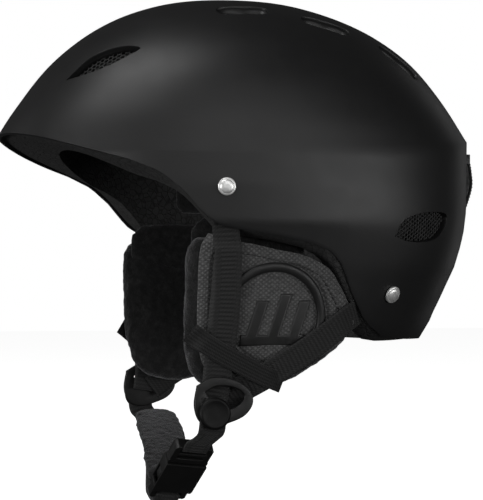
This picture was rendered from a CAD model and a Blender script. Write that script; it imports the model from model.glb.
import math
import bmesh
import bpy
import numpy as np
from mathutils import Matrix, Vector, noise
from mathutils.bvhtree import BVHTree


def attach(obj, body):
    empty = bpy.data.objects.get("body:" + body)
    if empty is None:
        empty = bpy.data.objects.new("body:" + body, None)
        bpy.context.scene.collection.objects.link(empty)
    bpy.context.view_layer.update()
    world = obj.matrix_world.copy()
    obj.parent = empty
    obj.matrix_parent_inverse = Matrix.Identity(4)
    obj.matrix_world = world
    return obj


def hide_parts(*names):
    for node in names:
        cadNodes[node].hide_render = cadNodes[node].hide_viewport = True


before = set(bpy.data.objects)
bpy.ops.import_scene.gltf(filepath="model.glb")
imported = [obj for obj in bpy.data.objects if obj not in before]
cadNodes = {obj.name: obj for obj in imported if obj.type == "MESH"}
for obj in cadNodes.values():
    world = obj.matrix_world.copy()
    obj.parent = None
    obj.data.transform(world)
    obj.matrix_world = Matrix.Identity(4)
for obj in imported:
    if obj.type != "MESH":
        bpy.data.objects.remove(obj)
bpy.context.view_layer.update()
mm = 0.001
bothSides = ((1, "left"), (-1, "right"))
print("frame loaded", len(cadNodes), "nodes")

# the helmet's own measures, in millimetres, the same as the solid model's
helmet = {
    "width": 211.0, "wall": 2.2, "linerGap": 0.4, "linerSide": 18.6,
    "frontProfile": [(-151, 48), (-143.5, 61), (-134, 76), (-115, 101), (-96, 118), (-77, 129.5), (-57, 137),
                     (-38, 141), (-12, 142.8)],
    "rearProfile": [(137.5, 62), (120.5, 86), (101.5, 107), (81.5, 121), (61, 130.5), (41, 136.5),
                    (20, 140.5), (-12, 142.8)],
    "sideProfile": [(105.5, 48), (103.5, 70), (97, 93), (85, 112), (67, 127), (40, 138.5), (0, 142.8)],
    "sideTuck": [(-60, 25), (-40, 17), (-20, 11), (0, 5.2), (10, 2.2), (30, 0.5), (48, 0), (62, 0)],
    "rearTuck": [(-60, 31), (-46, 22.5), (-43, 21.5), (-34, 17), (-21, 11), (-15, 8), (-2, 4), (7, 2),
                 (19, 0.5), (62, 0)],
    "rimLine": [(-160, 66), (-150, 63.5), (-142, 61.6), (-132, 58.1), (-117.7, 53), (-102, 47.8), (-86.3, 43),
                (-71, 36.5), (-58.6, 26.3), (-51.5, 17.8), (-44.4, 10.6), (-36.8, 7.4), (-28, 5.6),
                (-17, 3.8), (-5.6, 2.0), (12.9, -1.7), (25.2, -6.5), (31.8, -13), (39.7, -28.5),
                (48.8, -42.5), (55.1, -48.2), (65.7, -54.2), (85, -56), (140, -57)],
    "bottom": -62.0, "widestY": 2.0, "crownY": -12.0,
    "cavityFront": 110.0, "cavityRear": 104.0, "cavityZ": 40.0, "cavityRise": 78.0,
}


def curveThrough(points, samples):
    # a smooth curve through the points, with samples(span) places on each span
    p = np.array(points, float)
    a = np.vstack([2 * p[0] - p[1], p, 2 * p[-1] - p[-2]])
    out = []
    for i in range(1, len(a) - 2):
        before, start, end, after = a[i - 1:i + 3]
        span = np.linalg.norm(end - start)
        leave = (end - before) / (np.linalg.norm(start - before) + span) * span
        arrive = (after - start) / (np.linalg.norm(after - end) + span) * span
        for t in np.linspace(0, 1, samples(span), endpoint=False):
            out.append((2 * t**3 - 3 * t**2 + 1) * start + (t**3 - 2 * t**2 + t) * leave
                       + (3 * t**2 - 2 * t**3) * end + (t**3 - t**2) * arrive)
    out.append(p[-1])
    return np.array(out)


def smoothLine(points, count):
    # that curve, evenly spaced
    out = curveThrough(points, lambda span: 24)
    run = np.r_[0, np.cumsum(np.linalg.norm(np.diff(out, axis=0), axis=1))]
    even = np.linspace(0, run[-1], count)
    return np.stack([np.interp(even, run, out[:, k]) for k in range(out.shape[1])], 1)


def ease(t):
    t = min(max(t, 0.0), 1.0)
    return t * t * (3 - 2 * t)


def unit(v):
    return v / np.linalg.norm(v)


def power(value, exponent):
    return math.copysign(abs(value) ** exponent, value)


def shrink(lat, exponent):
    # how far a pad reaches at a latitude: 1 round its middle, 0 at its two faces' centres
    return math.cos(lat) ** exponent if math.cos(lat) > 0 else 0


def mirrored(p, side):
    return Vector((p[0] * side, p[1], p[2])) * mm


frontCurve = smoothLine(helmet["frontProfile"], 400)
rearCurve = smoothLine(helmet["rearProfile"], 400)
sideCurve = smoothLine(helmet["sideProfile"], 400)


def along(curve, v):
    k = v * (len(curve) - 1)
    i = min(int(k), len(curve) - 2)
    return curve[i] * (1 - k + i) + curve[i + 1] * (k - i)


def table(name, at):
    rows = helmet[name]
    return float(np.interp(at, [r[0] for r in rows], [r[1] for r in rows]))


def planReach(theta, halfX, halfY, power=2.15):
    s, c = abs(math.sin(theta)), abs(math.cos(theta))
    return ((s / halfX) ** power + (c / halfY) ** power) ** (-1 / power)


def domePoint(theta, v):
    side = along(sideCurve, v)
    middleY = helmet["widestY"] + (helmet["crownY"] - helmet["widestY"]) * v
    if v >= 1:
        return np.array([0, middleY, side[1]])
    c = math.cos(theta)
    end = along(frontCurve if c >= 0 else rearCurve, v)
    blendIn = c * c if c >= 0 else abs(c) ** 3.5
    r = planReach(theta, max(side[0], 1e-6), max(abs(end[0] - middleY), 1e-6))
    return np.array([r * math.sin(theta), middleY - r * c, side[1] + (end[1] - side[1]) * blendIn])


def skinPoint(theta, w):
    # w: 0 at the belt crease, 1 at the crown, -1 at the very bottom
    if w >= 0:
        return domePoint(theta, w)
    belt = domePoint(theta, 0)
    z = belt[2] + (helmet["bottom"] - belt[2]) * -w
    out = np.array([belt[0], belt[1] - helmet["widestY"]])
    reach = np.linalg.norm(out)
    mix = ease((math.degrees(abs(theta)) - 95) / 60)
    out *= (reach - table("sideTuck", z) * (1 - mix) - table("rearTuck", z) * mix) / reach
    return np.array([out[0], out[1] + helmet["widestY"], z])


rimCache = {}


def rimW(theta):
    key = round(theta, 5)
    if key not in rimCache:
        low, high = -1.0, 0.9
        for _ in range(30):
            middle = (low + high) / 2
            p = skinPoint(theta, middle)
            if p[2] < table("rimLine", p[1]):
                low = middle
            else:
                high = middle
        rimCache[key] = high
    return rimCache[key]


def beltW(theta):
    return max(0.0, rimW(theta) + 0.05)


def cavityPoint(theta, t, bottomZ):
    # t: 0 at the cavity's lower edge, 1 at its ceiling
    halfY = helmet["cavityFront"] if math.cos(theta) >= 0 else helmet["cavityRear"]
    halfX = helmet["width"] / 2 - helmet["wall"] - helmet["linerGap"] - helmet["linerSide"]
    full = planReach(theta, halfX, halfY, 2.2)
    rear = ease((math.degrees(abs(theta)) - 90) / 60)
    base, rise = helmet["cavityZ"], helmet["cavityRise"]
    line = []
    low = 0.0
    if bottomZ < base:
        for z in np.linspace(bottomZ, base, 8, endpoint=False):
            drop = max(0.0, (base - 30 - z) / 60)
            line.append((full - (5 + 12 * rear) * drop ** 1.3, z))
    else:
        low = math.asin(min(0.95, (bottomZ - base) / rise))
    for a in np.linspace(low, math.pi / 2, 24):
        line.append((full * max(math.cos(a), 0) ** 0.92, base + rise * math.sin(a)))
    line = np.array(line)
    run = np.r_[0, np.cumsum(np.linalg.norm(np.diff(line, axis=0), axis=1))]
    r, z = np.interp(t * run[-1], run, line[:, 0]), np.interp(t * run[-1], run, line[:, 1])
    return np.array([r * math.sin(theta), helmet["widestY"] - r * math.cos(theta), z])


# node materials
class Paint:
    # a small helper: makes nodes by type, sets their values and joins them up

    def __init__(self, name):
        self.material = bpy.data.materials.new(name)
        self.material.use_nodes = True
        self.tree = self.material.node_tree
        self.shader = self.tree.nodes["Principled BSDF"]
        self.coords = None

    def node(self, kind, **values):
        made = self.tree.nodes.new("ShaderNode" + kind)
        for key, value in values.items():
            if key in made.inputs:
                made.inputs[key].default_value = value
            else:
                setattr(made, key, value)
        return made

    def join(self, source, target):
        self.tree.links.new(source, target)

    def place(self, scale=(1, 1, 1), uv=None):
        if uv:
            source = self.node("UVMap", uv_map=uv).outputs["UV"]
        else:
            source = self.node("TexCoord").outputs["Object"]
        mapping = self.node("Mapping")
        mapping.inputs["Scale"].default_value = scale
        self.join(source, mapping.inputs["Vector"])
        return mapping.outputs["Vector"]

    def noise(self, size, detail=3.0, rough=0.55, vector=None, scale=(1, 1, 1)):
        made = self.node("TexNoise", Scale=1.0 / size, Detail=detail, Roughness=rough)
        self.join(vector or self.place(scale), made.inputs["Vector"])
        return made.outputs["Fac"]

    def ramp(self, source, stops):
        made = self.node("ValToRGB")
        bar = made.color_ramp
        while len(bar.elements) < len(stops):
            bar.elements.new(0.5)
        for element, (at, colour) in zip(bar.elements, stops):
            element.position = at
            element.color = (*colour, 1) if len(colour) == 3 else colour
        self.join(source, made.inputs["Fac"])
        return made.outputs["Color"]

    def math(self, operation, a, b):
        made = self.node("Math", operation=operation)
        for socket, value in zip(made.inputs, (a, b)):
            if isinstance(value, (int, float)):
                socket.default_value = value
            else:
                self.join(value, socket)
        return made.outputs[0]

    def spread(self, source, low, high, outLow, outHigh):
        made = self.node("MapRange")
        for socket, value in zip(("From Min", "From Max", "To Min", "To Max"), (low, high, outLow, outHigh)):
            made.inputs[socket].default_value = value
        self.join(source, made.inputs["Value"])
        return made.outputs["Result"]

    def bump(self, *layers):
        # layers: (height output, depth in metres)
        last = None
        for height, depth in layers:
            made = self.node("Bump", Strength=1.0, Distance=depth)
            self.join(height, made.inputs["Height"])
            if last is not None:
                self.join(last, made.inputs["Normal"])
            last = made.outputs["Normal"]
        self.join(last, self.shader.inputs["Normal"])

    def colour(self, source):
        self.join(source, self.shader.inputs["Base Color"])

    def rough(self, source):
        self.join(source, self.shader.inputs["Roughness"])

    def fixed(self, **values):
        for key, value in values.items():
            self.shader.inputs[key.replace("_", " ")].default_value = value


# a wave texture of scale 1 repeats after this length
wavePeriod = 0.314


def grey(v, tint=0.0):
    return (v, v, v * (1 + tint))


def shellPaint():
    look = {"dark": 0.0068, "light": 0.009, "roughLow": 0.42, "roughHigh": 0.46}
    p = Paint("matteShellPaint")
    cloud = p.noise(0.055, 4)
    p.colour(p.ramp(cloud, [(0.3, grey(look["dark"], 0.03)), (0.7, grey(look["light"], 0.03))]))
    fine = p.noise(0.012, 5)
    p.rough(p.spread(fine, 0.3, 0.7, look["roughLow"], look["roughHigh"]))
    p.bump((p.noise(0.0011, 2), 0.00002), (p.noise(0.0004, 2), 0.00001))
    p.fixed(Specular_IOR_Level=0.42)
    return p.material


def beadFoam():
    p = Paint("beadFoam")
    cells = p.node("TexVoronoi", Scale=1 / 0.0034, feature="DISTANCE_TO_EDGE")
    p.join(p.place(), cells.inputs["Vector"])
    edge = p.spread(cells.outputs["Distance"], 0.0, 0.12, 0.0, 1.0)
    tone = p.node("TexVoronoi", Scale=1 / 0.0034)
    p.join(p.place(), tone.inputs["Vector"])
    cellTone = p.spread(tone.outputs["Color"], 0, 1, 0.75, 1.0)
    seamTone = p.spread(edge, 0, 1, 0.55, 1.0)
    value = p.math("MULTIPLY", cellTone, seamTone)
    p.colour(p.ramp(value, [(0.3, grey(0.012)), (1.0, grey(0.055))]))
    p.rough(p.spread(p.noise(0.006), 0.3, 0.7, 0.7, 0.88))
    p.bump((edge, 0.00025), (p.noise(0.0009, 3), 0.00008))
    p.fixed(Specular_IOR_Level=0.3)
    return p.material


def mouldedPlastic(name="mouldedPlastic", tone=0.005, rough=0.42, shine=0.3):
    p = Paint(name)
    cloud = p.noise(0.008, 3)
    p.colour(p.ramp(cloud, [(0.3, grey(tone * 0.8)), (0.7, grey(tone * 1.25))]))
    p.rough(p.spread(p.noise(0.0025, 4), 0.3, 0.7, rough - 0.06, rough + 0.08))
    p.bump((p.noise(0.0005, 2), 0.00003), (p.noise(0.006, 2), 0.00005))
    p.fixed(Specular_IOR_Level=shine)
    return p.material


def softRubber(name="softRubber", tone=0.014, rough=0.6):
    p = Paint(name)
    p.colour(p.ramp(p.noise(0.01, 4), [(0.3, grey(tone * 0.75)), (0.75, grey(tone * 1.3))]))
    p.rough(p.spread(p.noise(0.003, 3), 0.3, 0.7, rough - 0.07, rough + 0.1))
    p.bump((p.noise(0.0007, 3), 0.00005))
    p.fixed(Specular_IOR_Level=0.35)
    return p.material


def fleecePile(name="fleecePile", tone=0.014):
    # short brushed pile: clumps, fibres lying in all ways, a soft bloom at grazing light
    p = Paint(name)
    clump = p.noise(0.0042, 5, 0.65)
    fibre = p.noise(0.00055, 3, 0.7, scale=(1, 1, 0.45))
    mixed = p.math("ADD", p.math("MULTIPLY", clump, 0.65), p.math("MULTIPLY", fibre, 0.35))
    p.colour(p.ramp(mixed, [(0.32, grey(tone * 0.35)), (0.5, grey(tone)), (0.68, grey(tone * 2.3))]))
    p.rough(p.spread(fibre, 0.3, 0.7, 0.86, 1.0))
    p.bump((clump, 0.0008), (fibre, 0.0004))
    p.fixed(Specular_IOR_Level=0.12, Sheen_Weight=0.6, Sheen_Roughness=0.45, Sheen_Tint=(0.6, 0.6, 0.62, 1))
    return p.material


def wovenCover(name="wovenCover", tone=0.036):
    # a heathered diamond weave: two diagonal thread systems crossed by slubs
    p = Paint(name)
    flat = p.place()
    bend = p.noise(0.004, 3, vector=flat)
    lines = []
    for lean in (math.radians(52), math.radians(-52)):
        turned = p.node("Mapping")
        turned.inputs["Rotation"].default_value = (lean, 0, 0)
        p.join(flat, turned.inputs["Vector"])
        bands = p.node("TexWave", wave_type="BANDS", bands_direction="Y", Scale=wavePeriod / 0.0019,
                       Distortion=1.6)
        bands.inputs["Detail"].default_value = 1
        p.join(turned.outputs["Vector"], bands.inputs["Vector"])
        lines.append(bands.outputs["Fac"])
    over = p.math("MINIMUM", lines[0], lines[1])
    slub = p.noise(0.0014, 3, 0.7, scale=(1, 0.5, 1))
    tint = p.math("ADD", p.math("MULTIPLY", over, 0.3), p.math("MULTIPLY", slub, 0.7))
    p.colour(p.ramp(tint, [(0.2, grey(tone * 0.35)), (0.45, grey(tone)), (0.75, grey(tone * 2.2))]))
    p.rough(p.spread(bend, 0.3, 0.7, 0.8, 0.95))
    p.bump((over, 0.0003), (slub, 0.00012))
    p.fixed(Specular_IOR_Level=0.2, Sheen_Weight=0.2, Sheen_Roughness=0.6)
    return p.material


def webbingWeave(name="webbingWeave", tone=0.016, pitch=0.0023):
    # strapUv: u runs along the strap in metres, v across it in metres
    p = Paint(name)
    vector = p.place(uv="strapUv")
    ribs = p.node("TexWave", wave_type="BANDS", bands_direction="X", Scale=wavePeriod / pitch)
    ribs.inputs["Distortion"].default_value = 0.3
    p.join(vector, ribs.inputs["Vector"])
    cross = p.node("TexWave", wave_type="BANDS", bands_direction="DIAGONAL", Scale=0.31 / 0.0009)
    p.join(vector, cross.inputs["Vector"])
    thread = p.noise(0.0006, 3, 0.7, vector=vector)
    fine = p.math("ADD", p.math("MULTIPLY", cross.outputs["Fac"], 0.25), p.math("MULTIPLY", thread, 0.4))
    tint = p.math("ADD", fine, p.math("MULTIPLY", ribs.outputs["Fac"], 0.35))
    p.colour(p.ramp(tint, [(0.25, grey(tone * 0.45)), (0.55, grey(tone)), (0.85, grey(tone * 1.9))]))
    p.rough(p.spread(thread, 0.3, 0.7, 0.62, 0.8))
    p.bump((cross.outputs["Fac"], 0.0001), (thread, 0.00012))
    p.fixed(Specular_IOR_Level=0.3, Sheen_Weight=0.1, Sheen_Roughness=0.5)
    return p.material


def nickelHead(name="nickelHead"):
    p = Paint(name)
    p.fixed(Metallic=0.8)
    scratch = p.noise(0.0011, 5, 0.7, scale=(1, 1, 0.15))
    p.colour(p.ramp(scratch, [(0.3, (0.76, 0.76, 0.75)), (0.7, (0.93, 0.93, 0.92))]))
    p.rough(p.spread(p.noise(0.0022, 4), 0.3, 0.75, 0.34, 0.5))
    p.bump((scratch, 0.000025), (p.noise(0.004, 2), 0.00012))
    return p.material


paints = {
    "shell": shellPaint(), "foam": beadFoam(), "plastic": mouldedPlastic(), "rubber": softRubber(),
    "fleece": fleecePile(tone=0.012), "cover": wovenCover(tone=0.06), "webbing": webbingWeave(tone=0.013),
    "nickel": nickelHead(), "button": mouldedPlastic("buttonPlastic", 0.003, 0.5, 0.18),
    "thread": softRubber("seamThread", 0.02, 0.7),
    "emboss": softRubber("embossedFilm", 0.012, 0.42), "elastic": webbingWeave("elasticBand", 0.006, 0.0011),
    "lining": fleecePile("greyLining", 0.30), "grille": mouldedPlastic("grilleWire", 0.018, 0.5),
}
print("materials ready")


# piece helpers
def faceOutwards(bm):
    bmesh.ops.recalc_face_normals(bm, faces=bm.faces)
    if bm.calc_volume(signed=True) < 0:
        bmesh.ops.reverse_faces(bm, faces=bm.faces)


def isVert(item):
    return isinstance(item, bmesh.types.BMVert)


def foldsOver(bm, degrees):
    return [e for e in bm.edges if len(e.link_faces) == 2 and e.calc_face_angle(0) > math.radians(degrees)]


def bevelEdges(bm, edges, offset, segments):
    bmesh.ops.bevel(bm, geom=edges, offset=offset, offset_type="OFFSET", affect="EDGES", segments=segments,
                    profile=0.5, material=-1, clamp_overlap=True)


def finishPiece(name, bm, paint, body, replaces=(), shade=35):
    piece = looseObject(name, bm)
    data = piece.data
    data.materials.append(paints[paint])
    for face in data.polygons:
        face.use_smooth = True
    if shade:
        data.set_sharp_from_angle(angle=math.radians(shade))
    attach(piece, body)
    if replaces:
        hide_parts(*([replaces] if isinstance(replaces, str) else replaces))
    return piece


def bakeModifiers(piece):
    # replaces the mesh by its evaluated one, so that nothing stays live
    bpy.context.view_layer.update()
    graph = bpy.context.evaluated_depsgraph_get()
    data = bpy.data.meshes.new_from_object(piece.evaluated_get(graph))
    old = piece.data
    piece.modifiers.clear()
    piece.data = data
    bpy.data.meshes.remove(old)
    return piece


def looseObject(name, bm):
    data = bpy.data.meshes.new(name)
    bm.to_mesh(data)
    bm.free()
    made = bpy.data.objects.new(name, data)
    bpy.context.scene.collection.objects.link(made)
    return made


def carve(piece, cutters):
    for cutter in cutters:
        step = piece.modifiers.new("carve", "BOOLEAN")
        step.operation = "DIFFERENCE"
        step.solver = "EXACT"
        step.object = cutter
    bakeModifiers(piece)
    for cutter in cutters:
        bpy.data.objects.remove(cutter)


def softenedCopy(node, name, paint, body, bevel):
    # a CAD part's mesh, merged, with its edges rounded
    bm = bmesh.new()
    bm.from_mesh(cadNodes[node].data)
    bmesh.ops.remove_doubles(bm, verts=bm.verts, dist=1e-6)
    bmesh.ops.dissolve_limit(bm, angle_limit=math.radians(1.0), verts=bm.verts, edges=bm.edges)
    bevelEdges(bm, foldsOver(bm, 25), bevel * mm, 3)
    return finishPiece(name, bm, paint, body, node, shade=30)


# camera, light and floor
studio = {
    "yaw": 16.0, "tilt": -1.0, "distance": 1.10, "lens": 137.74, "target": (0.0, 0.0, -0.005),
    "nudgeRight": 0.0015, "nudgeUp": 0.0012, "floorZ": -0.1575, "room": 0.034,
    # each softbox: place, power, size, what it aims at
    "softboxes": {
        "keyTop": ((0.36, -0.72, 1.22), 10.0, (1.0, 0.7), (0, -0.05, 0.05)),
        "fillSide": ((1.5, 0.0, 0.42), 5.0, (1.2, 1.0), (0, 0, 0)),
        "edgeBack": ((-0.75, 1.15, 0.2), 0.5, (0.3, 1.2), (0, 0.05, 0)),
        "edgeFront": ((-0.85, -1.05, 0.3), 0.7, (0.3, 0.9), (0, -0.05, 0.05)),
        "lowFront": ((0.55, -1.1, -0.05), 6.0, (0.9, 0.2), (0, -0.05, 0)),
        "lowSide": ((0.95, 0.75, -0.05), 3.5, (0.9, 0.2), (0, 0, -0.03)),
    },
}


def buildStudio():
    s = studio
    yaw, tilt = math.radians(s["yaw"]), math.radians(s["tilt"])
    back = Vector((math.cos(yaw) * math.cos(tilt), -math.sin(yaw) * math.cos(tilt), math.sin(tilt)))
    right = Vector((math.sin(yaw), math.cos(yaw), 0))
    up = back.cross(right)
    target = Vector(s["target"]) + right * s["nudgeRight"] + up * s["nudgeUp"]
    camera = bpy.data.objects.new("camera", bpy.data.cameras.new("camera"))
    camera.data.sensor_fit = "HORIZONTAL"
    camera.data.sensor_width = 36.0
    camera.data.lens = s["lens"]
    camera.data.clip_end = 20
    camera.matrix_world = Matrix.Translation(target + back * s["distance"]) @ Matrix(
        (right, up, back)).transposed().to_4x4()
    bpy.context.scene.collection.objects.link(camera)
    bpy.context.scene.camera = camera

    for name, (at, power, size, aim) in s["softboxes"].items():
        lamp = bpy.data.lights.new(name, "AREA")
        lamp.shape = "RECTANGLE"
        lamp.size, lamp.size_y = size
        lamp.energy = power
        made = bpy.data.objects.new(name, lamp)
        made.location = at
        made.rotation_euler = (Vector(aim) - Vector(at)).to_track_quat("-Z", "Y").to_euler()
        bpy.context.scene.collection.objects.link(made)
    world = bpy.data.worlds.new("whiteRoom")
    world.use_nodes = True
    tree = world.node_tree
    paths = tree.nodes.new("ShaderNodeLightPath")
    level = tree.nodes.new("ShaderNodeMapRange")
    level.inputs["To Min"].default_value = s["room"]
    level.inputs["To Max"].default_value = 1.0
    tree.links.new(paths.outputs["Is Camera Ray"], level.inputs["Value"])
    tree.nodes["Background"].inputs["Color"].default_value = (1, 1, 1, 1)
    tree.links.new(level.outputs["Result"], tree.nodes["Background"].inputs["Strength"])
    bpy.context.scene.world = world
    bpy.context.scene.view_settings.view_transform = "Standard"
    bm = bmesh.new()
    bmesh.ops.create_grid(bm, x_segments=1, y_segments=1, size=4.0)
    bmesh.ops.translate(bm, vec=(0, 0, s["floorZ"]), verts=bm.verts)
    floor = looseObject("floor", bm)
    p = Paint("paleFloor")
    p.colour(p.ramp(p.noise(0.4, 3), [(0.3, (0.78, 0.78, 0.78)), (0.7, (0.8, 0.8, 0.8))]))
    p.rough(p.spread(p.noise(0.05), 0.3, 0.7, 0.8, 0.9))
    p.fixed(Specular_IOR_Level=0.0, Emission_Strength=0.93, Emission_Color=(1, 1, 1, 1))
    floor.data.materials.append(p.material)
    floor.visible_diffuse = False
    floor.visible_glossy = False


buildStudio()
print("studio ready")


# hard shell
shell = {"around": 168, "lowRows": 22, "highRows": 42, "lipBevel": 0.55}


def skinRow(theta, k):
    low, high = shell["lowRows"], shell["highRows"]
    if k <= low:
        return rimW(theta) + (beltW(theta) - rimW(theta)) * k / low
    part = 1 - (1 - (k - low) / high) ** 1.15
    return beltW(theta) + (1 - beltW(theta)) * part


def domeMesh():
    # half a sphere drawn over the helmet's own outline, one row of edges on the belt crease
    bm = bmesh.new()
    rows = shell["lowRows"] + shell["highRows"]
    bmesh.ops.create_uvsphere(bm, u_segments=shell["around"], v_segments=rows * 2, radius=1.0)
    bmesh.ops.delete(bm, geom=[v for v in bm.verts if v.co.z < -1e-4], context="VERTS")
    for v in bm.verts:
        theta = math.atan2(v.co.x, -v.co.y)
        k = round(math.asin(max(0.0, min(1.0, v.co.z))) / (math.pi / 2) * rows)
        v.co = Vector(domePoint(0, 1) if k == rows else skinPoint(theta, skinRow(theta, k))) * mm
    bmesh.ops.recalc_face_normals(bm, faces=bm.faces)
    if sum(f.normal.z for f in bm.faces) < 0:
        bmesh.ops.reverse_faces(bm, faces=bm.faces)
    return bm


skinMesh = domeMesh()
skinTree = BVHTree.FromBMesh(skinMesh)


def spot(azimuth, w, alongWay, side=1):
    # a flat frame standing on the skin: place, long way, cross way, outward
    theta = math.radians(azimuth)
    at = skinPoint(theta, w)
    n = np.cross(skinPoint(theta + 0.01, w) - skinPoint(theta - 0.01, w),
                 skinPoint(theta, min(w + 0.01, 0.999)) - skinPoint(theta, w))
    at, n, u = Vector(at), Vector(n).normalized(), Vector(alongWay)
    if side < 0:
        at.x, n.x, u.x = -at.x, -n.x, -u.x
        u = -u
    u = (u - n * u.dot(n)).normalized()
    return at, u, n.cross(u), n


def onSkin(place, a, b, height):
    at, u, v, n = place
    p = (at + u * a + v * b) * mm
    hit = skinTree.ray_cast(p + n * 0.05, -n)[0]
    return (hit if hit else p) + n * height * mm


def outlineRing(outline, count, side, grow=0.0):
    line = smoothLine(list(outline) + [outline[0]], count + 1)[:-1]
    out = []
    for a, b in line:
        reach = math.hypot(a, b)
        out.append((a * (reach + grow) / reach * side, b * (reach + grow) / reach))
    return out


def extrudeRing(bm, ring):
    # pulls a closed ring of points out into a new one, and returns it in the same order
    members = set(ring)
    edges = [e for e in bm.edges if len(e.link_faces) < 2 and all(v in members for v in e.verts)]
    made = bmesh.ops.extrude_edge_only(bm, edges=edges)
    fresh = {x for x in made["geom"] if isVert(x)}
    return [next(e.other_vert(r) for e in r.link_edges if e.other_vert(r) in fresh) for r in ring]


def startRing(bm, count):
    bmesh.ops.create_circle(bm, cap_ends=False, segments=count, radius=1.0)
    return sorted(bm.verts, key=lambda v: math.atan2(v.co.y, v.co.x))


def ventCutter(name, place, outline, side, steps, count=56, top=14.0, bottom=-13.0):
    # a plug through the skin, its rings following the surface so that the chamfer stays even
    bm = bmesh.new()
    ring = startRing(bm, count)
    heights = [(bottom, steps[0][1], True)] + [(h, g, False) for h, g in steps] + [(top, steps[-1][1], True)]
    at, u, v, n = place
    for k, (height, grow, flat) in enumerate(heights):
        if k:
            ring = extrudeRing(bm, ring)
        for r, (a, b) in zip(ring, outlineRing(outline, count, side, grow)):
            r.co = (at + u * a + v * b + n * height) * mm if flat else onSkin(place, a, b, height)
    bmesh.ops.holes_fill(bm, edges=[e for e in bm.edges if e.is_boundary], sides=0)
    faceOutwards(bm)
    return looseObject(name, bm)


vents = {
    "leaf": [(-23, -6), (-15, 1), (-8, 5.5), (2, 7.5), (13, 7), (21, 4.5), (22.5, 2.5), (15, -2), (4, -6),
             (-9, -7.5)],
    "scoop": [(-22, -3), (-19, 3), (-13, 7), (0, 8.5), (15, 7.5), (22, 5), (22, 1), (15, -6), (5, -8),
              (-12, -6.5)],
    "oval": [(15, 0), (14, 4), (9.5, 6), (0, 6.2), (-9.5, 6), (-14, 4), (-15, 0), (-14, -4), (-9.5, -6),
             (0, -6.2), (9.5, -6), (14, -4)],
    "slit": [(13, 0), (12, 3.4), (8, 4.5), (-8, 4.5), (-12, 3.4), (-13, 0), (-12, -3.4), (-8, -4.5),
             (8, -4.5), (12, -3.4)],
    "slot": [(7.5, 0), (6.5, 3), (3.5, 3.5), (-3.5, 3.5), (-6.5, 3), (-7.5, 0), (-6.5, -3), (-3.5, -3.5),
             (3.5, -3.5), (6.5, -3)],
    "places": [("front", 32.0, 0.345, (27, 33, 9), "leaf"), ("rear", 134.5, -0.39, (-21, 39, 5), "scoop"),
               ("topA", 82.0, 0.61, (0, 1, 0), "oval"), ("topB", 120.0, 0.52, (-0.1, 1, -0.3), "oval"),
               ("topC", 144.0, 0.335, (-0.2, 1, -0.9), "oval"), ("low", 161.0, -0.66, (0, 0.2, 1), "slot")],
    "middle": (0.80, 0.52), "chamfer": 0.7, "cell": 1.7, "netDepth": {"front": -4.2, "rear": -3.6},
    "slopes": {"front": [(-0.9, 0.5), (-2.2, 0.1), (-4.6, -1.0)],
               "rear": [(-0.9, 0.5), (-2.2, 0.2), (-4.6, -0.6)],
               "other": [(-0.9, 0.5), (-2.2, -1.5), (-4.2, -2.9), (-8.5, -3.6)]},
}


def ventPlaces():
    found = []
    for name, azimuth, w, way, outline in vents["places"]:
        for side in (1, -1):
            found.append((name, side, spot(azimuth, w, way, side), vents[outline]))
    for v in vents["middle"]:
        found.append(("middle", 1, spot(180, v, (0, 1, -0.3)), vents["slit"]))
    return found


# strap rivets: a domed head on a flat washer rim, given as (radius, height)
rivet = {
    "steps": 48, "hole": 1.8, "places": [("front", 69.6, -0.177), ("rear", 129.0, -0.713)],
    "profile": [(0.001, 2.8), (1.4, 2.77), (2.6, 2.65), (3.3, 2.4), (3.7, 2.15), (3.85, 1.95), (4.05, 1.95),
                (4.45, 1.9), (4.8, 1.65), (4.9, 1.2), (4.85, 0.6), (4.6, 0.35), (1.6, 0.3), (1.5, -5.5),
                (0.001, -5.5)],
}


def rivetPlaces():
    for name, azimuth, w in rivet["places"]:
        for side in (1, -1):
            yield name, side, spot(azimuth, w, (0, 1, 0), side)


def buildShell():
    bm = skinMesh.copy()
    bmesh.ops.solidify(bm, geom=list(bm.faces), thickness=helmet["wall"] * mm)
    faceOutwards(bm)
    bevelEdges(bm, foldsOver(bm, 60), shell["lipBevel"] * mm, 3)
    piece = finishPiece("hardShell", bm, "shell", "helmet", "helmet_shell", shade=0)
    c = vents["chamfer"]
    steps = [(-c, 0.0), (-0.25 * c, 0.25 * c), (0.6, c * 1.1)]
    cutters = [ventCutter("ventPlug", place, outline, side, steps)
               for name, side, place, outline in ventPlaces()]
    for name, side, place in rivetPlaces():
        turns = np.linspace(0, 2 * math.pi, 16, endpoint=False)
        ring = [(rivet["hole"] * math.cos(a), rivet["hole"] * math.sin(a)) for a in turns]
        cutters.append(ventCutter("rivetHole", place, ring, 1, [(0, 0.0)], count=20, top=5, bottom=-6))
    carve(piece, cutters)
    piece.data.set_sharp_from_angle(angle=math.radians(32))


buildShell()
print("shell ready")


def ventWalls():
    # sloped walls that run from each opening down to a smaller one
    for name, side, place, outline in ventPlaces():
        if name == "low":
            continue
        slope = vents["slopes"].get(name, vents["slopes"]["other"])
        count = 56
        bm = bmesh.new()
        ring = startRing(bm, count)
        for k, (height, grow) in enumerate(slope):
            if k:
                ring = extrudeRing(bm, ring)
            for r, (a, b) in zip(ring, outlineRing(outline, count, side, grow)):
                r.co = onSkin(place, a, b, height)
        bmesh.ops.recalc_face_normals(bm, faces=bm.faces)
        above = place[0] * mm + place[3] * 0.02
        upward = sum(f.normal.dot((above - f.calc_center_median()).normalized()) for f in bm.faces)
        if upward < 0:
            bmesh.ops.reverse_faces(bm, faces=bm.faces)
        word = "Left" if side > 0 else "Right"
        made = finishPiece(name + "VentWall" + word, bm, "shell", "helmet", shade=50)
        wall = made.modifiers.new("wall", "SOLIDIFY")
        wall.thickness = 0.0007
        wall.offset = -1
        bakeModifiers(made)


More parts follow.
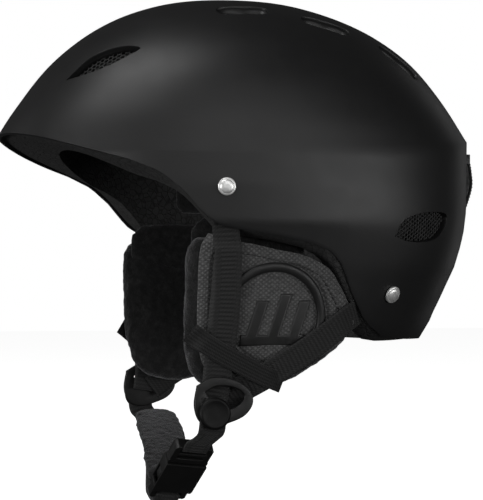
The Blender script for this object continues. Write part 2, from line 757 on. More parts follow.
def ventNets():
    # honeycomb netting stretched under the four side openings
    for name, side, place, outline in ventPlaces():
        if name not in ("front", "rear"):
            continue
        cell = vents["cell"] if name == "front" else vents["cell"] * 0.82
        edge = outlineRing(outline, 40, side, 1.2)
        bm = bmesh.new()
        stepA, stepB = cell * 1.5, cell * math.sqrt(3)
        for i in range(-13, 14):
            for j in range(-9, 10):
                a, b = stepA * i, stepB * (j + (i % 2) / 2)
                if not insideRing(edge, a, b):
                    continue
                made = bmesh.ops.create_circle(bm, cap_ends=True, segments=6, radius=cell)
                bmesh.ops.translate(bm, vec=(a, b, 0), verts=made["verts"])
        bmesh.ops.remove_doubles(bm, verts=bm.verts, dist=cell * 0.1)
        bmesh.ops.wireframe(bm, faces=bm.faces, thickness=cell * (0.3 if name == "front" else 0.62),
                            use_replace=True, use_boundary=True, use_even_offset=True,
                            use_relative_offset=False)
        depth = vents["netDepth"][name]
        for v in bm.verts:
            lift = v.co.z * 0.9
            v.co = onSkin(place, v.co.x, v.co.y, depth + lift)
        bmesh.ops.recalc_face_normals(bm, faces=bm.faces)
        word = "left" if side > 0 else "right"
        finishPiece(f"{name}Net{word.title()}", bm, "grille", "helmet", f"{name}_grille_{word}",
                    shade=0)


def insideRing(ring, a, b):
    inside = False
    for (a0, b0), (a1, b1) in zip(ring, ring[1:] + ring[:1]):
        if (b0 > b) != (b1 > b) and a < (a1 - a0) * (b - b0) / (b1 - b0) + a0:
            inside = not inside
    return inside


ventWalls()
ventNets()
print("vent walls and nets ready")


# bead-foam liner: one closed form from the cavity ceiling, round the rim and up under the shell
liner = {
    "around": 120, "cavityRows": 22, "rimRows": 6, "outerRows": 12, "channelGrow": 3.0,
    "rimDrop": [(-150, 9), (-100, 12), (-60, 10), (-30, 4), (0, 3), (60, 2)],
}


def linerEdge(theta):
    w = rimW(theta)
    # the liner's outer edge: just inside the shell's rim
    low, high = Vector(skinPoint(theta, w)), Vector(skinPoint(theta, w + 0.03))
    edge = low + (high - low).normalized()
    inward = Vector((-edge.x, helmet["widestY"] - edge.y, 0)).normalized()
    return edge + inward * (helmet["wall"] + helmet["linerGap"])


def buildLiner():
    bm = bmesh.new()
    a, r, o = liner["cavityRows"], liner["rimRows"], liner["outerRows"]
    total = a + r + o
    bmesh.ops.create_uvsphere(bm, u_segments=liner["around"], v_segments=total, radius=1.0)
    drops = liner["rimDrop"]
    edges = {}
    for v in bm.verts:
        theta = math.atan2(v.co.x, -v.co.y)
        k = total - round((math.asin(max(-1, min(1, v.co.z))) / math.pi + 0.5) * total)
        key = round(theta, 4)
        if k in (0, total):
            v.co = Vector((0, helmet["widestY"], helmet["cavityZ"] + helmet["cavityRise"])) * mm if k == 0 else \
                (Vector(domePoint(0, 1)) - Vector((0, 0, 2.6))) * mm
            continue
        if key not in edges:
            outer = linerEdge(theta)
            drop = float(np.interp(outer.y, [d[0] for d in drops], [d[1] for d in drops]))
            bottom = outer.z - drop
            edges[key] = (outer, bottom, Vector(cavityPoint(theta, 0, bottom)))
        outer, bottom, inner = edges[key]
        if k <= a:
            v.co = Vector(cavityPoint(theta, 1 - k / a, bottom)) * mm
        elif k <= a + r:
            t = (k - a) / r
            middle = inner.lerp(outer, 0.5)
            middle.z = outer.z * 0.55 + inner.z * 0.45 - 1.0
            v.co = (inner * (1 - t) ** 2 + middle * 2 * t * (1 - t) + outer * t * t) * mm
        else:
            t = (k - a - r) / o
            w = rimW(theta) + 0.012 + (1 - rimW(theta) - 0.012) * t
            p = Vector(skinPoint(theta, min(w, 1)))
            centre = Vector((0, -5, min(p.z, 60)))
            v.co = (p + (centre - p).normalized() * 3.0) * mm
    faceOutwards(bm)
    piece = finishPiece("beadLiner", bm, "foam", "helmet", "foam_liner", shade=0)
    cutters = []
    for name, side, place, outline in ventPlaces():
        cutters.append(ventCutter("airChannel", place, outline, side, [(-2.0, liner["channelGrow"])], count=40,
                                  top=8, bottom=-34 if name == "low" else -44))
    carve(piece, cutters)
    piece.data.set_sharp_from_angle(angle=math.radians(40))


buildLiner()
print("liner ready")


# strap rivets
def spunPiece(name, profile, place, paint, body, replaces=(), steps=48, shade=40):
    # place: (at, u, v, n) in mm; the profile is (radius, height along n)
    bm = bmesh.new()
    last = None
    for radius, height in profile:
        point = bm.verts.new((radius * mm, 0, height * mm))
        if last:
            bm.edges.new((last, point))
        last = point
    bmesh.ops.spin(bm, geom=list(bm.verts) + list(bm.edges), cent=(0, 0, 0), axis=(0, 0, 1),
                   angle=2 * math.pi, steps=steps, use_merge=True)
    bmesh.ops.remove_doubles(bm, verts=bm.verts, dist=3e-6)
    faceOutwards(bm)
    at, u, v, n = place
    turn = Matrix((u, v, n)).transposed().to_4x4()
    if turn.determinant() < 0:
        turn = Matrix((u, -v, n)).transposed().to_4x4()
    bmesh.ops.transform(bm, matrix=Matrix.Translation(at * mm) @ turn, verts=bm.verts)
    return finishPiece(name, bm, paint, body, replaces, shade)


def rivets():
    for name, side, place in rivetPlaces():
        word = "left" if side > 0 else "right"
        spunPiece(f"{name}Rivet{word.title()}", rivet["profile"], place, "nickel", "helmet",
                  f"{name}_rivet_{word}", rivet["steps"])


rivets()
print("rivets ready")


# ear pads
ear = {
    "outline": [(-50.5, 5), (-54.8, -3), (-55.5, -30), (-54.5, -55), (-50.5, -74), (-41, -83), (-27, -86),
                (-12, -85.5), (5, -81), (23, -71.5), (39.2, -60.3), (47.4, -49), (43.2, -39), (36, -27),
                (28.3, -16.8), (19, -11.5), (8, -7.5), (-8, -4.5), (-22, -1.5), (-34, 0.5), (-43, 3.5)],
    "centre": (-8.0, -40.0), "thick": 18.0, "coverShare": 0.90, "badge": (-5.7, -43.0), "ringOut": 31.0,
    "ringIn": 25.6, "bead": 2.1, "markScale": 1.25, "skew": (0.5, 4.0),
    "coverShift": (2.6, 3.0),
    "swellCap": 2.2, "voxel": 4.0,
}
padLine = smoothLine(ear["outline"] + ear["outline"][:1], 361)


def earX(y, z):
    reach = y + 8
    bow = 8 * (reach / 55) ** 2 if reach > 0 else 3 * (reach / 45) ** 2
    return helmet["width"] / 2 - 11.5 - bow - 0.17 * max(0.0, -z)


def padSpot(t, share):
    k = (t % 1.0) * 360
    i = int(k)
    p = padLine[i] * (1 - k + i) + padLine[(i + 1) % 360] * (k - i)
    c = np.array(ear["centre"])
    return c + (p - c) * share


def swell(piece, cap, voxel=4.0, pressure=4.0, frames=20):
    # blows the pad up a little as cloth, so that its faces crown and its sides pull in
    step = piece.modifiers.new("even", "REMESH")
    step.mode = "VOXEL"
    step.voxel_size = voxel * mm
    bakeModifiers(piece)
    count = len(piece.data.vertices)
    rest = np.empty(count * 3)
    piece.data.vertices.foreach_get("co", rest)
    rest = rest.reshape(-1, 3)
    cloth = piece.modifiers.new("cloth", "CLOTH")
    cloth.settings.use_pressure = True
    cloth.settings.uniform_pressure_force = pressure
    cloth.settings.effector_weights.gravity = 0
    cloth.settings.quality = 5
    cloth.point_cache.frame_start = 1
    cloth.point_cache.frame_end = frames
    scene = bpy.context.scene
    for f in range(1, frames + 1):
        scene.frame_set(f)
    graph = bpy.context.evaluated_depsgraph_get()
    moved = np.empty(count * 3)
    piece.evaluated_get(graph).data.vertices.foreach_get("co", moved)
    piece.modifiers.clear()
    scene.frame_set(1)
    shift = moved.reshape(-1, 3) - rest
    far = np.linalg.norm(shift, axis=1, keepdims=True)
    rest = rest + shift * np.minimum(1, cap * mm / np.maximum(far, 1e-9))
    piece.data.vertices.foreach_set("co", rest.ravel())
    finer = piece.modifiers.new("finer", "SUBSURF")
    finer.levels = finer.render_levels = 2
    bakeModifiers(piece)


def ruffle(piece, height, size):
    # an uneven pile: small clumps pushed out along the normals
    data = piece.data
    count = len(data.vertices)
    places, ways = np.empty(count * 3), np.empty(count * 3)
    data.vertices.foreach_get("co", places)
    data.vertices.foreach_get("normal", ways)
    places, ways = places.reshape(-1, 3), ways.reshape(-1, 3)
    for k in range(count):
        p = Vector(places[k] / (size * mm))
        lift = noise.noise(p) * 0.6 + noise.noise(p * 2.7) * 0.4
        places[k] += ways[k] * lift * height * mm
    data.vertices.foreach_set("co", places.ravel())
    for face in data.polygons:
        face.use_smooth = True


def padObject(name, place, body, replaces, cap, voxel, segments=(72, 36), shaggy=(0.55, 3.2)):
    # place(t, lat) gives the pad's surface for a turn t (0..1) and a latitude
    bm = bmesh.new()
    bmesh.ops.create_uvsphere(bm, u_segments=segments[0], v_segments=segments[1], radius=1.0)
    for v in bm.verts:
        t = math.atan2(v.co.y, v.co.x) / (2 * math.pi)
        v.co = place(t, math.asin(max(-1.0, min(1.0, v.co.z))))
    faceOutwards(bm)
    piece = finishPiece(name, bm, "fleece", body, replaces, shade=0)
    swell(piece, cap, voxel)
    ruffle(piece, *shaggy)
    return piece


def earCushion(side, word):
    half = ear["thick"] / 2

    def place(t, lat):
        y, z = padSpot(t, 0.965 * shrink(lat, 0.36))
        depth = half * (1 - 0.93 * power(math.sin(lat), 0.62))
        # the front edge slants back on the outer face
        slant = ease((-20 - y) / 25) * (ear["skew"][0] + ear["skew"][1] * math.sin(lat))
        return mirrored((earX(y, z) - depth, y + slant, z), side)

    padObject(f"earCushion{word.title()}", place, f"ear_pad_{word}", f"ear_cushion_{word}",
              ear["swellCap"], ear["voxel"])


def gridPiece(rows, columns, place, uvAt=None, wrap=False, shut=False):
    # a grid of rows by columns laid out by place(u, v); wrap joins its two long sides
    bm = bmesh.new()
    bmesh.ops.create_grid(bm, x_segments=rows, y_segments=columns, size=0.5)
    spots = {v: ((v.co.x + 0.5), (v.co.y + 0.5)) for v in bm.verts}
    if uvAt:
        layer = bm.loops.layers.uv.new("strapUv")
        for f in bm.faces:
            for loop in f.loops:
                loop[layer].uv = uvAt(*spots[loop.vert])
    for v, (a, b) in spots.items():
        v.co = place(a, b)
    if wrap:
        bmesh.ops.remove_doubles(bm, verts=bm.verts, dist=1e-6)
    if shut:
        bmesh.ops.holes_fill(bm, edges=[e for e in bm.edges if e.is_boundary], sides=0)
    bmesh.ops.recalc_face_normals(bm, faces=bm.faces)
    if wrap and bm.calc_volume(signed=True) < 0:
        bmesh.ops.reverse_faces(bm, faces=bm.faces)
    return bm


def coverSpot(t, share):
    y, z = padSpot(t, share)
    part = share / ear["coverShare"]
    return y + ear["coverShift"][0] * part, z + ear["coverShift"][1] * part


def coverLift(y, z, share):
    # the woven face: pressed channels on both sides of the ring, and a pulled-in border seam
    r = math.hypot(y - ear["badge"][0], z - ear["badge"][1])
    lift = 1.7 + 0.9 * (1 - share ** 4)
    for edge in (ear["ringOut"] + 0.9, ear["ringIn"] - 0.9):
        lift -= 1.6 * math.exp(-((r - edge) / 1.0) ** 2)
    inner = max(0.0, 1 - (r / (ear["ringIn"] - 2)) ** 2)
    lift += 0.5 * inner
    lift -= 0.9 * math.exp(-((share - 0.83) / 0.022) ** 2)
    return lift


def earCover(side, word):
    def place(a, b):
        top = min(1.0, a * 2)
        if a <= 0.5:
            share = ear["coverShare"] * math.sin(top * math.pi / 2) ** 0.8
            y, z = coverSpot(b, share)
            s = share / ear["coverShare"]
            lift = coverLift(y, z, s)
            if s > 0.93:
                lift *= math.sqrt(max(0.0, 1 - ((s - 0.93) / 0.075) ** 2)) if s < 1 else 0.0
                lift = max(lift, 0.1)
        else:
            share = ear["coverShare"] * (1 - (a - 0.5) * 2)
            y, z = coverSpot(b, share)
            lift = -1.5 + 1.5 * (share / ear["coverShare"]) ** 8
        return mirrored((earX(y, z) + lift, y, z), side)

    bm = gridPiece(120, 200, place, wrap=True)
    bmesh.ops.remove_doubles(bm, verts=bm.verts, dist=2e-5)
    piece = finishPiece(f"earCover{word.title()}", bm, "cover", f"ear_pad_{word}", f"ear_cover_{word}",
                        shade=0)
    seam = [coverSpot(k / 400, ear["coverShare"] * 0.83) for k in range(400)]
    places = [mirrored((earX(y, z) + 1.75, y, z), side) for y, z in seam]
    stitches(f"coverStitches{word.title()}", places, 3.0,
             "thread", f"ear_pad_{word}", closed=True)


def stitches(name, line, pitch, paint, body, length=2.1, radius=0.26, closed=False):
    # a row of short stitches laid along a line of places in metres
    bm = bmesh.new()
    line = [Vector(p) for p in line]
    run, steps = 0.0, []
    if closed:
        line.append(line[0])
    for a, b in zip(line[:-1], line[1:]):
        steps.append((run, a, b))
        run += (b - a).length
    count = int(run / (pitch * mm))
    for k in range(count):
        want = run * (k + 0.5) / count
        start, a, b = max((s for s in steps if s[0] <= want), key=lambda s: s[0])
        way = (b - a).normalized()
        made = bmesh.ops.create_uvsphere(bm, u_segments=8, v_segments=6, radius=1.0)
        size = Matrix.Diagonal((length / 2 * mm, radius * mm, radius * mm, 1))
        turn = way.to_track_quat("X", "Z").to_matrix().to_4x4()
        bmesh.ops.transform(bm, matrix=Matrix.Translation(a + way * (want - start)) @ turn @ size,
                            verts=made["verts"])
    return finishPiece(name, bm, paint, body, shade=0)


def earRing(side, word):
    middle, half = (ear["ringOut"] + ear["ringIn"]) / 2, (ear["ringOut"] - ear["ringIn"]) / 2

    def place(a, b):
        turn, roll = 2 * math.pi * a, 2 * math.pi * b
        r = middle + half * power(math.cos(roll), 0.8)
        y, z = ear["badge"][0] + r * math.cos(turn), ear["badge"][1] + r * math.sin(turn)
        lift = 1.5 + (ear["bead"] + 0.5) * max(0.0, math.sin(roll)) ** 0.8 - 0.8 * max(0.0, -math.sin(roll))
        return mirrored((earX(y, z) + lift, y, z), side)

    bm = gridPiece(120, 20, place, wrap=True)
    finishPiece(f"earRing{word.title()}", bm, "emboss", f"ear_pad_{word}", f"ear_ring_{word}",
                shade=0)


def earMark(side, word):
    # three slanted bars on one foot, raised with soft edges
    line = [(-15, -14), (15, -14), (15, -9), (12.5, -9), (17, 6), (11.5, 6), (7, -9), (2.8, -9), (8.2, 9),
            (2.7, 9), (-2.7, -9), (-7, -9), (-2.5, 6), (-8, 6), (-12.5, -9), (-15, -9)]
    bm = bmesh.new()
    points = [bm.verts.new((a * ear["markScale"], b * ear["markScale"], 0)) for a, b in line]
    bm.faces.new(points)
    made = bmesh.ops.extrude_face_region(bm, geom=list(bm.faces))
    top = [x for x in made["geom"] if isVert(x)]
    bmesh.ops.translate(bm, vec=(0, 0, 3.0), verts=top)
    rimEdges = [e for e in bm.edges if all(v in top for v in e.verts)]
    bevelEdges(bm, rimEdges, 1.5, 5)
    bmesh.ops.triangulate(bm, faces=bm.faces)
    bmesh.ops.recalc_face_normals(bm, faces=bm.faces)
    for v in bm.verts:
        y, z = ear["badge"][0] + v.co.x, ear["badge"][1] + v.co.y + 2.5
        v.co = mirrored((earX(y, z) + 1.4 + v.co.z * 0.8, y, z), side)
    faceOutwards(bm)
    finishPiece(f"earMark{word.title()}", bm, "emboss", f"ear_pad_{word}", f"ear_mark_{word}",
                shade=40)


for side, word in bothSides:
    earCushion(side, word)
    earCover(side, word)
    earRing(side, word)
    earMark(side, word)
print("ear pads ready")


# webbing straps
strap = {
    "width": 15.0, "thick": 1.6, "pitch": 2.3, "step": 0.36, "inset": 4.4, "over": 4.4,
    "keeperWidth": 11.0, "keeperThick": 1.4,
    "front": [(-36.0, 36.6), (-36.0, 28.6), (-34.0, 2), (-33.0, -30), (-34.5, -58), (-36.5, -79),
              (-38.5, -91)],
    "rear": [(75.1, -25.7), (67.1, -29.7), (40.0, -43.0), (15.0, -60), (-8.0, -73.5), (-22.5, -81.5),
             (-34.0, -89.5)],
    "keeper": [(-52.6, -50.2), (-44, -56.5), (-28, -65.5), (-10, -74.5), (0.5, -78.6)],
}


def skinX(y, z):
    low, high = 0.0, math.pi
    for _ in range(26):
        theta = (low + high) / 2
        belt = domePoint(theta, 0)
        p = skinPoint(theta, max(-1.0, min((z - belt[2]) / (belt[2] - helmet["bottom"]), 0.0)))
        if p[1] < y:
            low = theta
        else:
            high = theta
    return p[0]


def flatStations(path, width, inside=None, lift=0.0, sink=None):
    # stations of a strap that lies over the ear pad: two edge places and an outward way
    rough = smoothLine(path, 400)
    length = float(np.linalg.norm(np.diff(rough, axis=0), axis=1).sum())
    line = smoothLine(path, max(8, int(length / strap["step"])))
    found = []
    for k, (y, z) in enumerate(line):
        ahead = line[min(k + 2, len(line) - 1)] - line[max(k - 2, 0)]
        ahead = unit(ahead)
        across = np.array([-ahead[1], ahead[0]]) * width / 2
        edges = []
        for sign in (-1, 1):
            cy, cz = y + across[0] * sign, z + across[1] * sign
            x = earX(cy, cz) + strap["over"] + lift
            if inside:
                t = ease(inside(cy, cz))
                if t > 0:
                    x = x * (1 - t) + (skinX(cy, cz) - strap["inset"] - strap["thick"]) * t
            if sink:
                x += sink(cy, cz)
            edges.append(np.array([x + strap["thick"] / 2, cy, cz]))
        way = edges[1] - edges[0]
        forward = np.array([0, ahead[0], ahead[1]])
        out = np.cross(way, forward)
        out = unit(out)
        if out[0] < 0:
            out = -out
        found.append((edges[0], edges[1], out, k * strap["step"]))
    return found


def ladder(s, share):
    # relief of ladder webbing: bars across the middle, two braided columns at each edge
    side = abs(share - 0.5) * 2
    if side < 0.56:
        return 0.44 * abs(math.sin(math.pi * s / strap["pitch"])) ** 0.8 - 0.2
    if side < 0.62:
        return -0.16
    column = (side - 0.62) / 0.19
    lean = (column % 1) * 0.9 * (1 if int(column) % 2 else -1)
    return 0.3 * abs(math.sin(math.pi * (s / 1.45 + lean))) - 0.06


def ribbedElastic(s, share):
    return 0.34 * abs(math.sin(math.pi * share * 6.5)) + 0.05 * math.sin(2 * math.pi * s / 0.9) - 0.1


def strapPiece(name, stations, thick, relief, paint, body, replaces, side=1, both=False,
               columns=(34, 10)):
    top, under = columns
    total = top + under
    rows = len(stations) - 1
    width = float(np.linalg.norm(stations[0][0] - stations[0][1]))

    def section(b):
        k = b * total
        if k <= top:
            return k / top, 1
        return 1 - (k - top) / under, -1

    def place(a, b):
        low, high, out, s = stations[round(a * rows)]
        share, face = section(b)
        edge = min(share, 1 - share) * width
        rounding = math.sqrt(max(0.0, 1 - max(0.0, 1 - edge / 0.9) ** 2))
        height = thick / 2 * face * (0.12 + 0.88 * rounding)
        if face > 0 or both:
            height += relief(s, share) * face * rounding
        return mirrored(low + (high - low) * share + out * height, side)

    def uvAt(a, b):
        share, face = section(b)
        return (stations[round(a * rows)][3] * mm, (share * width + (0 if face > 0 else 2 * width)) * mm)

    bm = gridPiece(rows, total, place, uvAt, wrap=True, shut=True)
    return finishPiece(name, bm, paint, body, replaces, shade=0)


def straps():
    for side, word in bothSides:
        big = word.title()
        front = flatStations(strap["front"], strap["width"], lambda y, z: (z + 6) / 11)
        strapPiece(f"frontStrap{big}", front, strap["thick"], ladder, "webbing", "helmet",
                   f"front_strap_{word}", side)
        rear = flatStations(strap["rear"], strap["width"], lambda y, z: (y - 34) / 18,
                            sink=lambda y, z: -1.9 * ease((-12 - y) / 14))
        strapPiece(f"rearStrap{big}", rear, strap["thick"], ladder, "webbing", "helmet", f"rear_strap_{word}",
                   side)
        band = flatStations(strap["keeper"], strap["keeperWidth"], lift=strap["thick"] + 0.45,
                            sink=lambda y, z: -4.2 * ease((-47 - y) / 7) - 4.0 * ease((y + 7) / 9))
        strapPiece(f"keeper{big}", band, strap["keeperThick"], ribbedElastic, "elastic", "helmet",
                   f"strap_keeper_{word}", side)


straps()
print("straps ready")


# strap dividers: a moulded ring plate with a pressed button
divider = {
    "x": 86.89, "thick": 3.0, "pin": (-40.0, -94.0), "bevel": 1.1,
    "outline": [(-49, -79), (-40, -74.5), (-28, -76), (-19, -82), (-17.5, -89), (-22, -95.5), (-31, -99.5),
                (-40, -101.5), (-47.5, -98.5), (-50.5, -90)],
    "hole": [(-44.5, -82.5), (-38, -79.5), (-28, -80.5), (-22.5, -84.5), (-25, -89.5), (-31, -91.5),
             (-34.5, -86.5), (-42, -85.2)],
    "button": [(0.001, -1.0), (2.0, -1.0), (2.0, 2.4), (8.2, 2.4), (8.7, 2.6), (8.85, 3.0), (8.75, 3.7),
               (8.3, 4.35), (7.6, 4.7), (7.0, 4.75), (6.6, 4.55), (3.0, 4.5), (0.001, 4.5)],
}


def ringPlate(side, word):
    bm = bmesh.new()
    loops = []
    for outline in (divider["outline"], divider["hole"]):
        made = bmesh.ops.create_circle(bm, cap_ends=False, segments=72, radius=1.0)
        line = smoothLine(outline + outline[:1], 73)[:-1]
        centre = np.array(divider["hole"]).mean(0)
        order = sorted(range(72), key=lambda k: math.atan2(line[k][1] - centre[1], line[k][0] - centre[0]))
        ring = sorted(made["verts"], key=lambda v: math.atan2(v.co.y, v.co.x))
        for v, k in zip(ring, order):
            v.co = Vector((0, line[k][0], line[k][1]))
        loops.append(ring)
    edges = [e for e in bm.edges]
    bmesh.ops.bridge_loops(bm, edges=edges)
    made = bmesh.ops.extrude_face_region(bm, geom=list(bm.faces))
    bmesh.ops.translate(bm, vec=(divider["thick"], 0, 0),
                        verts=[x for x in made["geom"] if isVert(x)])
    bmesh.ops.recalc_face_normals(bm, faces=bm.faces)
    bevelEdges(bm, foldsOver(bm, 60), divider["bevel"], 4)
    for v in bm.verts:
        v.co = mirrored((divider["x"] + v.co.x, v.co.y, v.co.z), side)
    faceOutwards(bm)
    finishPiece(f"dividerRing{word.title()}", bm, "plastic", "helmet", f"strap_divider_{word}",
                shade=45)
    place = (Vector(((divider["x"] + divider["thick"]) * side, *divider["pin"])), Vector((0, 1, 0)),
             Vector((0, 0, 1)), Vector((side, 0, 0)))
    spunPiece(f"dividerButton{word.title()}", divider["button"], place, "button", "helmet",
              f"divider_button_{word}", 56)


for side, word in bothSides:
    ringPlate(side, word)
print("dividers ready")


# chin sling: buckle frame, two straps and the chin pad
sling = {"x": 90.19, "top": (62.0, -43.0, -113.0), "end": (28.0, -51.5, -144.0), "thick": 1.6, "lowZ": -152.0,
         "slotDepth": 3.3, "padShift": 4.0, "padHalf": 4.0, "padReach": 15.5}
buckleTop, buckleEnd = np.array(sling["top"]), np.array(sling["end"])
buckleLong = float(np.linalg.norm(buckleEnd - buckleTop))
buckleA = (buckleEnd - buckleTop) / buckleLong
buckleW = np.array([0, 1.0, 0]) - buckleA[1] * buckleA
buckleW = unit(buckleW)
buckleN = np.cross(buckleW, buckleA)
if buckleN[2] > 0:
    buckleN = -buckleN


def onBuckle(a, n):
    return tuple(buckleTop + buckleA * a + buckleN * n)


def slingPaths():
    y, z = divider["pin"]
    x, slotN, long = sling["x"], sling["slotDepth"], buckleLong
    bend = np.array([x - 0.6, y - 0.8, z - 10.5])
    lead = buckleTop - buckleA * 4.5 + buckleN * (slotN + 0.6)
    near = 0.55 * bend + 0.45 * lead + np.array([1.0, 0, -0.5])
    left = [(x, y, z + 8.5), (x, y, z), tuple(bend), tuple(near), tuple(lead), onBuckle(1.2, slotN + 0.5),
            onBuckle(2.7, slotN + 0.35), onBuckle(3.15, slotN - 0.5), onBuckle(3.1, 0), onBuckle(3.1, -2)]
    right = [(-x, y, z + 8.5), (-x, y, z), (-x + 0.4, y + 0.8, z - 9.0), (-x + 4, y + 3, z - 13),
             (-46.0, y + 1, sling["lowZ"] + 26), (-12.0, y - 6.5, sling["lowZ"] + 6.5),
             (8.0, y - 10.0, sling["lowZ"] + 4.5), onBuckle(long + 4.0, 4.0), onBuckle(long + 0.6, 3.6),
             onBuckle(long - 1.3, 3.3), onBuckle(long - 2.8, 3.1), onBuckle(long - 3.2, 2.0),
             onBuckle(long - 3.15, -1)]
    return left, right


def slingStations(path, width, side):
    line = curveThrough(path, lambda span: max(5, int(span / strap["step"])))
    found, run = [], 0.0
    for k, p in enumerate(line):
        ahead = line[min(k + 1, len(line) - 1)] - line[max(k - 1, 0)]
        ahead = unit(ahead)
        # near the buckle the strap lies square to it
        near = min(np.linalg.norm(p - buckleTop), np.linalg.norm(p - buckleEnd))
        share = min(1.0, max(0.0, (18.0 - near) / 11.0))
        across = np.array([0, 1.0, 0]) * (1 - share) + buckleW * share
        wide = across - across.dot(ahead) * ahead
        wide = unit(wide)
        out = np.cross(wide, ahead) * -side
        if k:
            run += float(np.linalg.norm(p - line[k - 1]))
        middle = p - out * sling["thick"] / 2
        found.append((middle - wide * width / 2, middle + wide * width / 2, out, run))
    return found


def chinStraps():
    left, right = slingPaths()
    for name, path, side, node in (("chinStrapLeft", left, 1, "chin_strap_left"),
                                   ("chinStrapRight", right, -1, "chin_strap_right")):
        stations = slingStations(path, strap["width"], side)
        if stations[5][2][0] * side < 0:
            stations = [(a + o * sling["thick"], b + o * sling["thick"], -o, s) for a, b, o, s in stations]
        strapPiece(name, stations, sling["thick"], ladder, "webbing", "chin_sling", node,
                   both=True)


def chinPad():
    right = slingPaths()[1]
    whole = curveThrough(right, lambda span: max(5, int(span / 0.5)))
    first = int(np.argmin(np.linalg.norm(whole - np.array(right[3]), axis=1)))
    last = int(np.argmin(np.linalg.norm(whole - np.array(right[5]), axis=1)))
    line = whole[first:last + 1]
    half = sling["padHalf"]

    def place(t, lat):
        turn = 2 * math.pi * t
        r = shrink(lat, 0.34)
        c, s = math.cos(turn), math.sin(turn)
        square = (abs(c) ** 4.5 + abs(s) ** 4.5) ** (-1 / 4.5)
        reachLong, cross = c * square * r * 0.98, s * square * r * 0.96
        k = (reachLong + 1) / 2 * (len(line) - 1)
        i = min(int(k), len(line) - 2)
        p = line[i] + (line[i + 1] - line[i]) * (k - i)
        ahead = line[min(i + 4, len(line) - 1)] - line[max(i - 4, 0)]
        ahead = unit(ahead)
        wide = np.array([0, 1.0, 0]) - ahead[1] * ahead
        wide = unit(wide)
        lift = np.cross(wide, ahead)
        lift = -lift if lift[2] < 0 else lift
        narrow = 1 - 0.18 * max(0.0, (reachLong + 1) / 2 - 0.58) / 0.42
        high = half + 0.5 + half * 0.92 * power(math.sin(lat), 0.7)
        q = p + wide * (cross * sling["padReach"] * narrow + sling["padShift"]) + lift * high
        return Vector(q) * mm

    padObject("chinPad", place, "chin_sling", "chin_pad", 2.0, 3.4, (64, 28), (0.5, 2.6))


chinStraps()
chinPad()
for node, name, body, bevel in (("buckle_male", "buckleMale", "chin_sling", 0.45),
                                ("buckle_female", "buckleFemale", "chin_sling", 0.5),
                                ("buckle_prong_front", "prongFront", "prong_front", 0.4),
                                ("buckle_prong_rear", "prongRear", "prong_rear", 0.4)):
    softenedCopy(node, name, "plastic", body, bevel)
print("chin sling ready")


# comfort pads in the head cavity
comfort = {"thick": 7.0, "rest": 1.4, "cap": 2.0, "voxel": 3.6}


def wallPad(name, node, start, end, low, high):
    half = comfort["thick"] / 2
    middle, halfAngle = math.radians((start + end) / 2), math.radians((end - start) / 2)

    def place(t, lat):
        turn = 2 * math.pi * t
        r = shrink(lat, 0.3)
        c, s = math.cos(turn), math.sin(turn)
        square = (abs(c) ** 6 + abs(s) ** 6) ** (-1 / 6)
        theta = middle + halfAngle * c * square * r * 0.98
        z = (low + high) / 2 + (high - low) / 2 * s * square * r * 0.94
        wall = cavityReach(theta, z)
        reach = wall - comfort["rest"] - half + half * 0.9 * power(math.sin(lat), 0.7)
        return Vector((reach * math.sin(theta), helmet["widestY"] - reach * math.cos(theta), z)) * mm

    padObject(name, place, "helmet", node, comfort["cap"], comfort["voxel"], (72, 24), (0.4, 2.4))


reachCache = {}


def cavityReach(theta, z):
    key = round(theta / 0.025)
    if key not in reachCache:
        line = np.array([cavityPoint(key * 0.025, t, 5.0) for t in np.linspace(0, 1, 40)])
        r = np.hypot(line[:, 0], line[:, 1] - helmet["widestY"])
        order = np.argsort(line[:, 2])
        reachCache[key] = (line[order, 2], r[order])
    return float(np.interp(z, *reachCache[key]))


def crownPad():
    ceiling = helmet["cavityZ"] + helmet["cavityRise"]

    def place(t, lat):
        r = 36.0 * shrink(lat, 0.45)
        top = -1.6 - 7.6 * (r / 37) ** 2
        z = ceiling + (top + (-11.0)) / 2 + (top + 11.0) / 2 * power(math.sin(lat), 0.7)
        turn = 2 * math.pi * t
        return Vector((r * math.cos(turn), helmet["widestY"] + r * math.sin(turn), z)) * mm

    padObject("crownPad", place, "helmet", "crown_pad", 1.0, 3.6, (64, 24), (0.4, 2.4))


# fleece tabs that close the way between each ear pad and the side of the cavity
tab = {"y": (-50, 18), "z": (-16, 15), "low": 75.5, "high": 74.5, "half": 2.6}


def earTab(side, word):
    middleY, halfY = sum(tab["y"]) / 2, (tab["y"][1] - tab["y"][0]) / 2
    middleZ, halfZ = sum(tab["z"]) / 2, (tab["z"][1] - tab["z"][0]) / 2

    def place(t, lat):
        turn = 2 * math.pi * t
        r = shrink(lat, 0.4)
        y = middleY + halfY * power(math.cos(turn), 0.6) * r
        z = middleZ + halfZ * power(math.sin(turn), 0.6) * r
        x = tab["low"] + (tab["high"] - tab["low"]) * ease((z + 12) / 24)
        x = min(x, cavityReach(math.pi / 2, max(z, 6.0)) - 5.5)
        return mirrored((x + tab["half"] * power(math.sin(lat), 0.7), y, z), side)

    padObject(f"earTab{word.title()}", place, f"ear_pad_{word}", (), 0.8, 3.0, (64, 20), (0.4, 2.4))


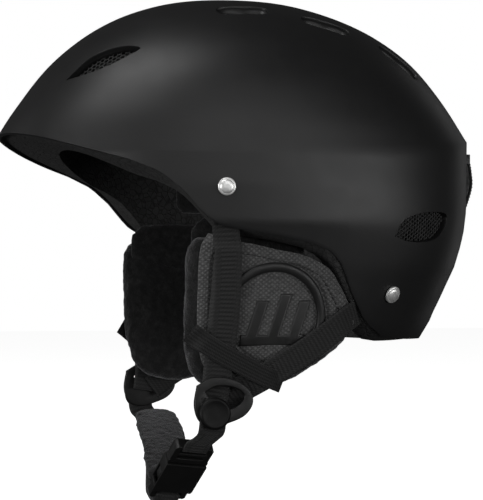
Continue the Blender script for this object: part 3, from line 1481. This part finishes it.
for side, word in bothSides:
    earTab(side, word)
wallPad("browPad", "brow_pad", -52, 52, 58, 80)
wallPad("napePad", "nape_pad", 150, 210, 14, 44)
wallPad("sidePadLeft", "side_pad_left", 74, 128, 18, 46)
wallPad("sidePadRight", "side_pad_right", -128, -74, 18, 46)
crownPad()
print("comfort pads ready")


# goggle-strap retainer at the back
retainer = {"rows": 160, "half": 10.0, "lining": 0.5, "thick": 2.2, "tooth": 1.9,
            "path": [(141.98, 51.0), (143.18, 45), (143.78, 36), (140.25, 24), (137.25, 16), (137.05, 6)]}


def buildRetainer():
    rows, half = retainer["rows"], retainer["thick"] / 2
    line = smoothLine(retainer["path"], rows)
    found, run = [], 0.0
    for k, (y, z) in enumerate(line):
        ahead = line[min(k + 2, rows - 1)] - line[max(k - 2, 0)]
        ahead = unit(ahead)
        out = np.array([0, ahead[1], -ahead[0]])
        out = -out if out[1] < 0 else out
        if k:
            run += float(np.linalg.norm(line[k] - line[k - 1]))
        w = retainer["half"] * (1 - 0.1 * k / rows)
        middle = np.array([0, y, z]) + out * retainer["thick"] / 2
        found.append((middle + np.array([w, 0, 0]), middle - np.array([w, 0, 0]), out, run))

    def teeth(s, share):
        side = abs(share - 0.5) * 2
        return (0.75 * max(0.0, math.sin(2 * math.pi * s / retainer["tooth"])) ** 0.6) if side < 0.86 else 0.1

    strapPiece("goggleLoop", found, retainer["thick"], teeth, "rubber", "goggle_retainer", "goggle_retainer",
               columns=(24, 8))
    inner = [(a - o * (half + 0.15), b - o * (half + 0.15), o, s) for a, b, o, s in found[4:120]]
    strapPiece("loopLining", inner, retainer["lining"], lambda s, share: 0.0, "lining",
               "goggle_retainer", (),
               columns=(16, 8))


buildRetainer()
softenedCopy("retainer_clip", "retainerClip", "plastic", "helmet", 0.25)
softenedCopy("retainer_stud", "retainerStud", "nickel", "helmet", 0.2)
softenedCopy("nape_cradle", "napeCradle", "plastic", "nape_cradle", 0.5)
softenedCopy("dial_hub", "dialHub", "plastic", "nape_cradle", 0.4)
softenedCopy("fit_dial", "fitDial", "rubber", "fit_dial", 0.35)
for word in ("left", "right"):
    softenedCopy(f"cradle_anchor_{word}", f"cradleAnchor{word.title()}", "plastic", "helmet", 0.3)
print("retainer and fit system ready")
